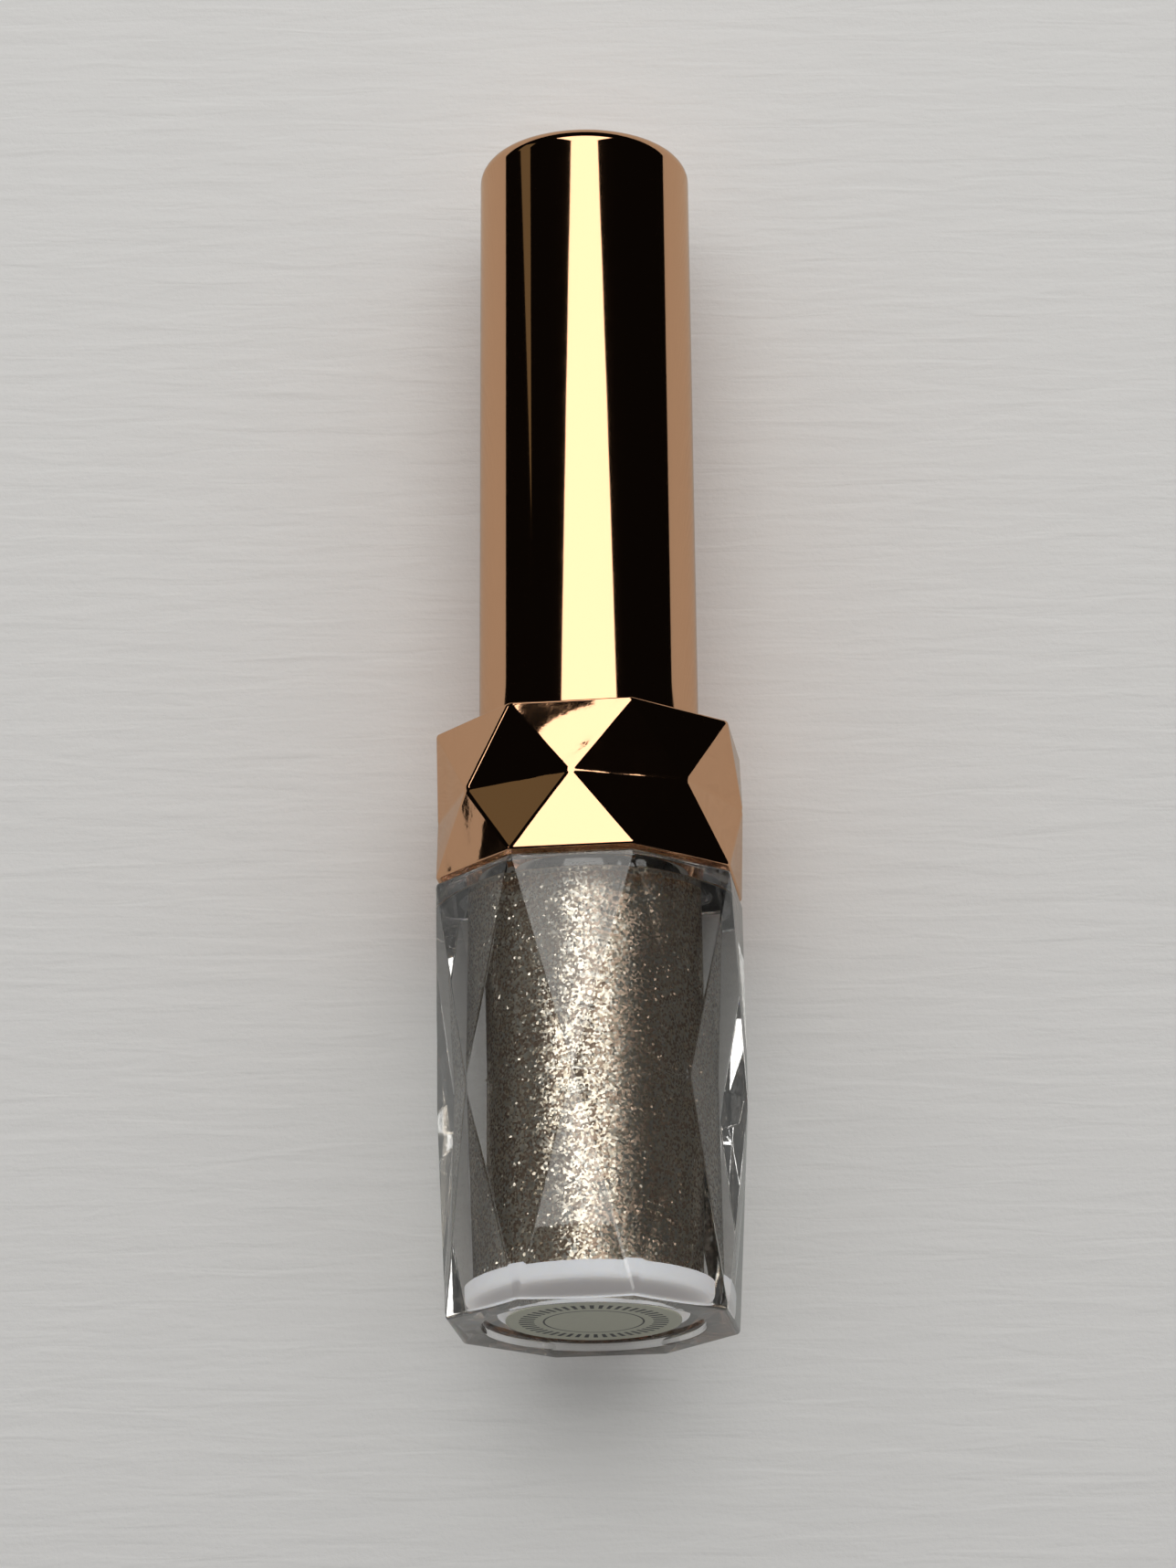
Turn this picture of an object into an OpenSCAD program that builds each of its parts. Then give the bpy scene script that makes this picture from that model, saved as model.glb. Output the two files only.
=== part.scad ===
// Lip gloss tube with a diamond-cut bottle, a gold collar and a long round gold cap.
// It is closed and lies on its side, resting on one edge of the collar and the bottle.
// Every piece is drawn standing on the bottle's base at z = 0, then laid down along +Y.

/* [Diamond cut] */
// Number of corners round the bottle and the collar
sides = 8; // [8:1:12]
// Corner radius where the bottle and the collar meet, and at the collar's top
ring_r = 11.75; // [10:0.05:14.5]
// How far the corners of the belts lie inside the ring's corners
belt_in = 0.3; // [0.1:0.05:0.5]
// How far the corners of the bottle's base lie inside the ring's corners
base_in = 0.75; // [0:0.05:1]

/* [Bottle] */
// Height of the clear outer bottle
bottle_h = 32.6; // [26:0.1:45]
// Thickness of the clear floor under the vial
bottle_floor = 1.35; // [0.8:0.05:4]
// Width of the flat foot round the recess in the base, at its narrowest
foot_w = 2.05; // [1:0.05:3]
// Depth of the recess in the base
recess_depth = 0.55; // [0.3:0.05:1.5]
// Width of the bare ring between the label and the recess's wall
label_margin = 1.75; // [0.5:0.05:3]
// Thickness of the label
label_t = 0.12; // [0.05:0.01:0.25]

/* [Vial] */
// Outer radius of the round vial inside the bottle
vial_r = 6.95; // [5.8:0.05:8]
// Wall of the vial
vial_wall = 0.95; // [0.6:0.05:1.2]
// Floor of the vial
vial_floor = 0.9; // [0.6:0.05:3]
// Wall of the bottle round the flange that hangs the vial, at its thinnest
rim_wall = 1.5; // [0.8:0.05:1.7]
// Thickness of that flange
flange_t = 1.3; // [0.8:0.1:2]
// How far the flange lies below the bottle's rim
flange_drop = 0.9; // [0.2:0.05:1.2]
// How far the vial's full width rises above its flange
vial_rise = 0.6; // [0.2:0.1:0.9]
// Wall where the vial's shoulder turns into the neck
shoulder_wall = 0.6; // [0.4:0.05:0.8]
// Headspace between the gloss and the vial's shoulder
headspace = 0.2; // [0.1:0.1:12]

/* [Neck] */
// Wall of the neck
neck_wall = 1.1; // [0.8:0.05:1.3]
// Height of the neck above the flange
neck_h = 9.3; // [7.7:0.1:11.2]
// Least step from the vial's cavity in to the neck's bore
shoulder_step = 1; // [0.5:0.1:1.5]
// Rise of the screw thread in one turn
thread_pitch = 2; // [1.6:0.1:2.2]
// Turns of thread on the neck and in the closure
thread_turns = 1.5; // [1:0.25:2]
// Height of the thread's ridge
thread_depth = 0.55; // [0.3:0.05:0.6]

/* [Wiper] */
// Thickness of the wiper's flange on the neck
wiper_flange = 0.8; // [0.5:0.1:1.2]
// Length of the wiper's sleeve in the neck
wiper_sleeve = 5.4; // [3:0.1:6]
// Length of the cone that leads to the wiping lip
wiper_cone = 2.8; // [1.5:0.1:3.5]
// Wall of the wiper
wiper_wall = 0.7; // [0.5:0.05:0.9]

/* [Collar] */
// Height of the gold collar
collar_h = 11.2; // [10.2:0.1:16]
// Parting gap between the bottle and the collar
part_gap = 0.3; // [0.1:0.05:0.6]
// How deep the cap's shell sits in the collar
cap_seat = 2; // [1:0.1:3]

/* [Cap] */
// Outer radius of the cap where it leaves the collar
cap_r = 8.2; // [7.8:0.05:9.8]
// How much slimmer the cap is at its far end
cap_draft = 0.15; // [0:0.05:0.3]
// Length of the cap that stands out of the collar
cap_len = 47.6; // [30:0.1:70]
// Wall of the cap
cap_wall = 0.9; // [0.7:0.05:1.1]
// Thickness of the cap's closed end
cap_end_t = 1.2; // [0.8:0.1:3]
// Rounding of the cap's far edge
cap_edge_r = 1; // [0.3:0.1:1.2]

/* [Closure] */
// How much slimmer the closure's skirt is than the cap
skirt_in = 0.6; // [0.4:0.05:0.8]
// Wall of the skirt behind its thread
skirt_wall = 0.95; // [0.7:0.05:1.2]
// Thickness of the web that holds the wand
web_t = 1.5; // [1:0.1:3]
// Height of the closure's cup above the web
cup_h = 4.6; // [2:0.1:8]
// Wall of that cup
cup_wall = 1; // [0.7:0.1:1.5]
// Length of the ring-shaped weight above the closure
weight_len = 8; // [3:0.5:14]
// Inner radius of the weight
weight_bore_r = 4.5; // [2.5:0.1:6]

/* [Wand] */
// Radius of the wand's rod
rod_r = 1.85; // [1.5:0.05:2.2]
// Thickness of the rod's flange under the web
rod_flange_t = 1.2; // [0.8:0.1:2]
// Radius of the snap spigot that passes through the web
spigot_r = 2.6; // [2:0.05:3.2]
// How far the snap bead stands out of the spigot
snap_bead = 0.3; // [0.1:0.05:0.5]
// Thickness of the gasket between the wiper and the rod's flange
gasket_t = 0.8; // [0.4:0.1:1.5]
// Gap between the applicator's end and the vial's floor
tip_gap = 1.6; // [0.8:0.1:4]
// Length of the applicator
tip_len = 10.5; // [9:0.5:14]
// Length of its slanted face
slant_len = 7.5; // [5:0.5:8.5]
// How far past the middle the slanted face comes out at the toe
toe_back = 0.45; // [0.3:0.05:0.8]
// Radius of the applicator's plastic core
core_r = 1.6; // [1.3:0.05:2]
// Thickness of the flocking on the core
flock_t = 0.4; // [0.2:0.05:0.5]
// Length of the core's plug in the end of the rod
plug_len = 4; // [2:0.5:6]
// Radius of that plug
plug_r = 1.1; // [0.8:0.05:1.3]

/* [Fits] */
// Radial gap between pieces that are pressed or glued together
fit_gap = 0.05; // [0.02:0.01:0.1]
// Gap between pieces that move past each other
run_gap = 0.1; // [0.05:0.01:0.2]

/* [Hidden] */
$fn = 96;
// Excess that carries a cut past the face it opens
over = 0.5;

// Heights of the bottle side, from the base up
bottle_floor_z = recess_depth + bottle_floor;
ledge_z = bottle_h - flange_drop - flange_t;
flange_top_z = ledge_z + flange_t;
vial_z = bottle_floor_z + run_gap;
cavity_z = vial_z + vial_floor;
neck_top_z = flange_top_z + neck_h;
wiper_top_z = neck_top_z + wiper_flange;
sleeve_z = neck_top_z - wiper_sleeve;
lip_z = sleeve_z - wiper_cone;

// Heights of the cap side
collar_z = bottle_h + part_gap;
collar_top_z = collar_z + collar_h;
seat_z = collar_top_z - cap_seat;
cap_top_z = collar_top_z + cap_len;
gasket_z = wiper_top_z + run_gap / 2;
rod_flange_z = gasket_z + gasket_t + run_gap / 2;
web_z = rod_flange_z + rod_flange_t;
cup_top_z = web_z + web_t + cup_h;
skirt_z = collar_z + part_gap;

// Radii of the diamond cut, and the flats that fit inside it
half_step = 180 / sides;
base_r = ring_r - base_in;
belt_r = ring_r - belt_in;
recess_r = base_r * cos(half_step) - foot_w;
label_r = recess_r - label_margin;
flange_r = ring_r * cos(half_step) - rim_wall;

// Radii of the cap side, from the cap inwards to the thread and the neck
cap_end_r = cap_r - cap_draft;
skirt_r = cap_r - skirt_in;
skirt_bore_r = skirt_r - skirt_wall;
skirt_crest_r = skirt_bore_r - thread_depth;
crest_r = skirt_crest_r - fit_gap;
neck_r = crest_r - thread_depth;
hold_r = neck_r + thread_depth / 2;

// Radii inside the vial; it closes to the neck on a 45 degree shoulder that clears the skirt's foot
cavity_r = vial_r - vial_wall;
neck_bore_r = min(neck_r - neck_wall, cavity_r - shoulder_step);
sleeve_r = neck_bore_r - fit_gap;
rise_z = flange_top_z + vial_rise;
rise_r = min(vial_r, skirt_bore_r - part_gap + skirt_z - rise_z);
shoulder_rise = cavity_r - neck_bore_r;
shoulder_z = rise_z + rise_r - cavity_r - shoulder_wall * sqrt(2);

// The thread's ridge: widths at its foot and crest, and where it starts
thread_foot = thread_pitch * 0.42;
thread_tip = thread_pitch * 0.16;
skirt_thread_z = skirt_z + thread_foot;
neck_thread_z = skirt_thread_z + thread_pitch / 2;
thread_steps = 30;
fade_steps = 5;
thread_sink = 0.25;

// The widest part of the wand sets the way through the wiper, the gasket and the gloss
tip_r = core_r + flock_t;
wand_way_r = max(tip_r, rod_r) + run_gap;
tip_z = cavity_z + tip_gap;
core_z = tip_z + flock_t;
rod_z = tip_z + tip_len;

// Lying down, a belt corner and the next ring corners touch the surface together
rest_turn = max(0, atan((belt_r / ring_r - cos(half_step)) / sin(half_step)));
axis_h = ring_r * cos(half_step - rest_turn);

// Lays a standing piece on its side, with the tube's middle over the origin
module lay() {
    translate([0, -cap_top_z / 2, axis_h])
        rotate([-90, 0, 0])
            rotate([0, 0, 90 - rest_turn])
                children();
}

// A ring of corners, turned by part of a step
function corners(r, z, turn) = [for (k = [0 : sides - 1]) let (a = 2 * half_step * (k + turn))
    [r * cos(a), r * sin(a), z]];

// Two bands of triangles between three rings of corners, the middle ring turned by half a step
module diamond_cut(h, r_low, r_belt, r_high) {
    points = concat(corners(r_low, 0, 0.5), corners(r_belt, h / 2, 0), corners(r_high, h, 0.5));
    low = [for (k = [0 : sides - 1]) k];
    belt = [for (k = [0 : sides - 1]) sides + k];
    high = [for (k = [0 : sides - 1]) 2 * sides + k];
    next = [for (k = [0 : sides - 1]) (k + 1) % sides];
    faces = concat(
        [low],
        [for (k = [0 : sides - 1]) [low[k], belt[next[k]], low[next[k]]]],
        [for (k = [0 : sides - 1]) [low[k], belt[k], belt[next[k]]]],
        [for (k = [0 : sides - 1]) [belt[k], high[k], belt[next[k]]]],
        [for (k = [0 : sides - 1]) [high[k], high[next[k]], belt[next[k]]]],
        [[for (k = [sides - 1 : -1 : 0]) high[k]]]
    );
    polyhedron(points = points, faces = faces, convexity = 4);
}

// A right-hand ridge on a round wall, rising out of it and sinking back at its ends
module thread_ridge(wall_r, ridge_r, z) {
    out = ridge_r > wall_r ? 1 : -1;
    steps = ceil(thread_steps * thread_turns);
    fade = [for (i = [0 : steps]) min(1, i / fade_steps, (steps - i) / fade_steps)];
    root_r = wall_r - out * thread_sink;
    low_r = wall_r - out * thread_sink / 2;
    points = [for (i = [0 : steps]) let (
            a = 360 * i / thread_steps,
            mid = z + thread_pitch * i / thread_steps,
            top_r = low_r + (ridge_r - low_r) * fade[i],
            section = [[root_r, -thread_foot / 2], [top_r, -thread_tip / 2],
                [top_r, thread_tip / 2], [root_r, thread_foot / 2]])
        for (k = [0 : 3]) let (p = section[out > 0 ? k : 3 - k])
            [p[0] * cos(a), p[0] * sin(a), mid + p[1]]];
    faces = concat(
        [[3, 2, 1], [3, 1, 0]],
        [for (i = [0 : steps - 1]) for (k = [0 : 3]) let (a = 4 * i + k, b = 4 * i + (k + 1) % 4)
            each [[a, b, b + 4], [a, b + 4, a + 4]]],
        [[4 * steps, 4 * steps + 1, 4 * steps + 2], [4 * steps, 4 * steps + 2, 4 * steps + 3]]
    );
    polyhedron(points = points, faces = faces, convexity = 6);
}

// Clear outer bottle: diamond-cut outside, bored for the vial, with a recess in its base
module bottle_shell() {
    color([0.9, 0.92, 0.93, 0.35]) lay() difference() {
        diamond_cut(bottle_h, base_r, belt_r, ring_r);
        translate([0, 0, bottle_floor_z]) cylinder(r = vial_r + fit_gap, h = bottle_h);
        translate([0, 0, ledge_z]) cylinder(r = flange_r + fit_gap, h = bottle_h);
        translate([0, 0, -over]) cylinder(r = recess_r, h = recess_depth + over);
    }
}

// Round vial with its hanging flange and threaded neck
module inner_vial() {
    color([0.93, 0.92, 0.92, 0.6]) lay() union() {
        rotate_extrude() polygon([
            [0, vial_z], [vial_r, vial_z], [vial_r, ledge_z], [flange_r, ledge_z],
            [flange_r, flange_top_z], [rise_r, flange_top_z], [rise_r, rise_z],
            [neck_r, rise_z + rise_r - neck_r], [neck_r, neck_top_z],
            [neck_bore_r, neck_top_z], [neck_bore_r, shoulder_z + shoulder_rise],
            [cavity_r, shoulder_z], [cavity_r, cavity_z], [0, cavity_z]
        ]);
        thread_ridge(neck_r, crest_r, neck_thread_z);
    }
}

// Gloss, filled to just under the shoulder, with the wand's own way down its middle
module gloss_fill() {
    fill_r = cavity_r - fit_gap / 2;
    fill_z = shoulder_z - headspace;
    color([0.5, 0.42, 0.36]) lay() difference() {
        union() {
            translate([0, 0, cavity_z]) cylinder(r = fill_r, h = fill_z - cavity_z);
            translate([0, 0, fill_z])
                cylinder(r1 = fill_r, r2 = fill_r - shoulder_rise, h = shoulder_rise);
        }
        translate([0, 0, tip_z - run_gap]) cylinder(r = wand_way_r, h = bottle_h);
        translate([0, 0, lip_z - run_gap]) cylinder(r = vial_r, h = bottle_h);
    }
}

// Wiper: a flange on the neck, a sleeve inside it and a cone down to the wiping lip
module wiper() {
    color([0.9, 0.9, 0.88]) lay() rotate_extrude() polygon([
        [wand_way_r, lip_z], [wand_way_r + wiper_wall, lip_z], [sleeve_r, sleeve_z],
        [sleeve_r, neck_top_z], [neck_r - fit_gap, neck_top_z], [neck_r - fit_gap, wiper_top_z],
        [sleeve_r - wiper_wall, wiper_top_z], [sleeve_r - wiper_wall, sleeve_z],
        [wand_way_r, lip_z + wiper_wall]
    ]);
}

// Round label on the roof of the base recess
module base_label() {
    color([0.55, 0.55, 0.55]) lay()
        translate([0, 0, recess_depth - label_t]) cylinder(r = label_r, h = label_t);
}

// Soft ring between the wiper's flange and the rod's flange
module closure_gasket() {
    color([0.95, 0.95, 0.93]) lay() translate([0, 0, gasket_z]) difference() {
        cylinder(r = neck_r - run_gap, h = gasket_t);
        translate([0, 0, -over]) cylinder(r = wand_way_r, h = gasket_t + 2 * over);
    }
}

// Ring-shaped steel weight in the cap, just above the closure
module cap_weight() {
    color([0.6, 0.6, 0.62]) lay() translate([0, 0, cup_top_z + run_gap]) difference() {
        cylinder(r = cap_end_r - cap_wall - run_gap, h = weight_len);
        translate([0, 0, -over]) cylinder(r = weight_bore_r, h = weight_len + 2 * over);
    }
}

// Long round cap with a little draft, closed at the far end with a rounded edge
module cap_shell() {
    edge = min(cap_edge_r, cap_wall + cap_end_t / 2);
    color([0.86, 0.68, 0.45]) lay() difference() {
        union() {
            translate([0, 0, seat_z]) cylinder(r = cap_r, h = cap_seat);
            translate([0, 0, collar_top_z])
                cylinder(r1 = cap_r, r2 = cap_end_r, h = cap_len - edge);
            translate([0, 0, cap_top_z - edge]) rotate_extrude() {
                square([cap_end_r - edge, edge]);
                translate([cap_end_r - edge, 0]) intersection() {
                    circle(r = edge);
                    square(edge);
                }
            }
        }
        translate([0, 0, seat_z - over]) cylinder(r = cap_r - cap_wall, h = cap_seat + over);
        translate([0, 0, collar_top_z])
            cylinder(r1 = cap_r - cap_wall, r2 = cap_end_r - cap_wall, h = cap_len - cap_end_t);
    }
}

// Diamond-cut gold collar, bored for the closure and counterbored for the cap's shell
module collar() {
    color([0.86, 0.68, 0.45]) lay() translate([0, 0, collar_z]) difference() {
        diamond_cut(collar_h, ring_r, belt_r, ring_r);
        translate([0, 0, -over]) cylinder(r = skirt_r + fit_gap, h = collar_h + 2 * over);
        translate([0, 0, collar_h - cap_seat]) cylinder(r = cap_r + fit_gap, h = cap_seat + over);
    }
}

// Inner closure: a threaded skirt round the neck, a web for the wand and a cup above it
module closure() {
    cup_r = cap_end_r - cap_wall - fit_gap;
    color([0.93, 0.93, 0.92]) lay() union() {
        rotate_extrude() polygon([
            [skirt_bore_r, skirt_z], [skirt_r, skirt_z], [skirt_r, seat_z], [cup_r, seat_z],
            [cup_r, cup_top_z], [cup_r - cup_wall, cup_top_z], [cup_r - cup_wall, web_z + web_t],
            [spigot_r + fit_gap, web_z + web_t], [spigot_r + fit_gap, web_z], [hold_r, web_z],
            [hold_r, wiper_top_z], [skirt_bore_r, wiper_top_z - (skirt_bore_r - hold_r)]
        ]);
        thread_ridge(skirt_bore_r, skirt_crest_r, skirt_thread_z);
    }
}

// Rod of the wand, with its flange, the snap spigot above it and a socket for the applicator
module wand_rod() {
    spigot_top_z = web_z + web_t + 1.2;
    bead_z = web_z + web_t + 0.1;
    color([0.94, 0.94, 0.93]) lay() difference() {
        union() {
            translate([0, 0, rod_z]) cylinder(r = rod_r, h = rod_flange_z - rod_z);
            translate([0, 0, rod_flange_z]) cylinder(r = hold_r - fit_gap, h = rod_flange_t);
            translate([0, 0, web_z]) cylinder(r = spigot_r, h = spigot_top_z - web_z);
            translate([0, 0, bead_z])
                cylinder(r1 = spigot_r + snap_bead, r2 = spigot_r, h = spigot_top_z - bead_z);
        }
        translate([0, 0, rod_z - over]) cylinder(r = plug_r + fit_gap, h = plug_len + over + run_gap);
    }
}

// Slanted doe-foot form, grown outwards all round
module doe_foot(grow) {
    lean = atan((core_r + toe_back) / slant_len);
    difference() {
        translate([0, 0, core_z + core_r]) union() {
            sphere(r = core_r + grow);
            cylinder(r = core_r + grow, h = rod_z - core_z - core_r);
        }
        translate([core_r, 0, core_z + slant_len]) rotate([0, lean, 0])
            translate([grow, -tip_len / 2, -tip_len * 1.5]) cube([tip_len, tip_len, tip_len * 3]);
    }
}

// Plastic core of the applicator, with the plug that holds it in the rod
module applicator_core() {
    color([0.94, 0.94, 0.93]) lay() union() {
        doe_foot(0);
        translate([0, 0, rod_z - over]) cylinder(r = plug_r, h = plug_len + over);
    }
}

// Flocking that covers the core
module applicator_flock() {
    color([0.85, 0.8, 0.76]) lay() difference() {
        doe_foot(flock_t);
        doe_foot(0);
    }
}

bottle_shell();
inner_vial();
gloss_fill();
wiper();
base_label();
closure_gasket();
cap_weight();
cap_shell();
collar();
closure();
wand_rod();
applicator_core();
applicator_flock();
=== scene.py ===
import math
import bmesh
import bpy
import numpy as np
from mathutils import Matrix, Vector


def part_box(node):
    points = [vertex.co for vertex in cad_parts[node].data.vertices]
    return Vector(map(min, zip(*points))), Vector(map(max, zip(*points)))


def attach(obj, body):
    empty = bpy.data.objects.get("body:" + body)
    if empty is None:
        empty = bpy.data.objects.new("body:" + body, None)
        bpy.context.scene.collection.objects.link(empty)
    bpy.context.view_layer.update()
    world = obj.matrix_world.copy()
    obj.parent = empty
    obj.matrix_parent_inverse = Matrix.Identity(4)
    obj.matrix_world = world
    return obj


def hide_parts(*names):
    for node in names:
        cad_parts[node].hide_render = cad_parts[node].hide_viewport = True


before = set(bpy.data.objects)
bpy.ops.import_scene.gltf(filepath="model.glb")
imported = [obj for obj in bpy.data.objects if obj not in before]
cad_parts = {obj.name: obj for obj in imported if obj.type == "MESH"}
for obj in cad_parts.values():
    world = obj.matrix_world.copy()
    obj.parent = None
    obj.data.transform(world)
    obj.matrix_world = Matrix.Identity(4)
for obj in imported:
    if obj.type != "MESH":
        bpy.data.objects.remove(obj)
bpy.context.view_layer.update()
print("frame loaded")

# The tube lies along +Y. Pieces are worked out standing: radius and height in mm, turn in degrees about it.
mm = 0.001
sides = 8
capBox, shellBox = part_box("cap_shell"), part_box("bottle_shell")
axisHeight = (capBox[0].z + capBox[1].z) / 2 / mm
baseY = shellBox[0].y / mm
bottleHeight = (shellBox[1].y - shellBox[0].y) / mm
collarLow, collarHigh = (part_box("collar")[end].y / mm - baseY for end in (0, 1))
tubeHeight = capBox[1].y / mm - baseY
beltTurn = 82.47  # turn of one belt corner, so that it and two ring corners touch the floor


def lay(radius, turn, height):
    # a point at radius r, turn a and height h goes to x = r cos a, y = base + h, z = axis - r sin a
    radius, turn, height = np.broadcast_arrays(radius, np.radians(turn), height)
    return np.stack([radius * np.cos(turn), baseY + height, axisHeight - radius * np.sin(turn)], -1) * mm


def roundedOutline(corners, steps=5):
    # each corner (r, h, fillet, cuts) becomes an arc that touches both of its straight lines;
    # cuts splits the straight line that follows it into that many equal stretches
    flat = np.array([c[:2] for c in corners], float)
    rows = []
    for k, corner in enumerate(corners):
        fillet = corner[2] if len(corner) > 2 else 0
        cuts = corner[3] if len(corner) > 3 else 1
        here, before, after = flat[k], flat[k - 1], flat[(k + 1) % len(flat)]
        if fillet:
            back, ahead = before - here, after - here
            lengths = np.hypot(*back), np.hypot(*ahead)
            back, ahead = back / lengths[0], ahead / lengths[1]
            half = math.acos(np.clip(back @ ahead, -1, 1)) / 2
            reach = min(fillet / math.tan(half), 0.48 * min(lengths))
            middle = (back + ahead) / np.hypot(*(back + ahead)) * reach / math.cos(half)
            radius = reach * math.tan(half)
            sweep = np.linspace(0, 1, steps + 1)[:, None]
            start, end = back * reach - middle, ahead * reach - middle
            span = math.pi - 2 * half
            arc = (np.sin((1 - sweep) * span) * start + np.sin(sweep * span) * end) / math.sin(span)
            rows.append(here + middle + arc * radius / np.hypot(*start))
        else:
            rows.append(here[None])
        if cuts > 1:
            share = np.linspace(0, 1, cuts + 1)[1:-1, None]
            rows.append(rows[-1][-1] * (1 - share) + after * share)
    return np.concatenate(rows)


def loopFaces(low, high):
    # quads between two rings of vertex numbers, closed round the tube
    return np.stack([low, np.roll(low, -1), np.roll(high, -1), high], 1)


def rowFaces(rows):
    # quads between each ring and the next
    return np.concatenate([loopFaces(a, b) for a, b in zip(rows[:-1], rows[1:])])


def fanFaces(middle, ring):
    # triangles from one vertex to each edge of a ring
    return np.stack([np.full(len(ring), middle), ring, np.roll(ring, -1)], 1)


def makeMesh(name, points, blocks):
    # points in metres and blocks of face rows; every face of the closed surface is turned outwards
    mesh = bpy.data.meshes.new(name)
    mesh.from_pydata(points.tolist(), [], [face for b in blocks for face in b.tolist()])
    work = bmesh.new()
    work.from_mesh(mesh)
    bmesh.ops.recalc_face_normals(work, faces=work.faces)
    work.to_mesh(mesh)
    work.free()
    mesh.polygons.foreach_set("use_smooth", np.ones(len(mesh.polygons), bool))
    mesh.update()
    piece = bpy.data.objects.new(name, mesh)
    bpy.context.scene.collection.objects.link(piece)
    return piece


def weighNormals(piece):
    # large flat faces pull the shading of the small bevel faces beside them
    weigh = piece.modifiers.new("weigh", "WEIGHTED_NORMAL")
    weigh.mode, weigh.weight, weigh.keep_sharp = "FACE_AREA", 80, False


def lathe(name, corners, columns=96, change=None, steps=5):
    # an outline of (r, h) carried round the axis; change gives a new radius and height from radius, turn
    # and height
    outline = roundedOutline(corners, steps)
    closed = outline[0, 0] < 1e-6 and outline[-1, 0] < 1e-6
    body = outline[1:-1] if closed else outline
    turn = np.arange(columns) * 360 / columns
    radius, height = body[:, :1] + 0 * turn, body[:, 1:] + 0 * turn
    if change:
        radius, height = change(radius, turn[None], height)
    points = lay(radius, turn, height).reshape(-1, 3)
    rows = np.arange(len(points)).reshape(len(body), columns)
    blocks = [rowFaces(rows)]
    if closed:
        points = np.concatenate([points, lay(0, 0, outline[[0, -1], 1])])
        blocks += [fanFaces(len(points) - 2, rows[0]), fanFaces(len(points) - 1, rows[-1])]
    else:
        blocks.append(loopFaces(rows[-1], rows[0]))
    piece = makeMesh(name, points, blocks)
    weighNormals(piece)
    return piece


def threadRidge(wall, crest, start, pitch=2.0, turns=1.5, low=0, high=99):
    # radius = wall + depth * trapezoid(distance from the helix's middle) * fade at both of its ends
    foot, tip, fadeTurns = 0.42 * pitch, 0.16 * pitch, 1 / 6

    def change(radius, turn, height):
        roundPart = ((turn - 90 + (90 - beltTurn)) % 360) / 360
        along = (height - start) / pitch
        at = np.clip(np.round(along - roundPart) + roundPart, -1, turns + 1)
        inside = np.clip(np.minimum(at, turns - at) / fadeTurns, 0, 1)
        off = np.abs(along - at) * pitch
        ridge = np.clip((foot / 2 - off) / ((foot - tip) / 2), 0, 1)
        ridge = ridge * ridge * (3 - 2 * ridge)
        onWall = (np.abs(radius - wall) < 1e-4) & (height > low) & (height < high)
        return np.where(onWall, wall + (crest - wall) * ridge * inside, radius), height

    return change


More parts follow.
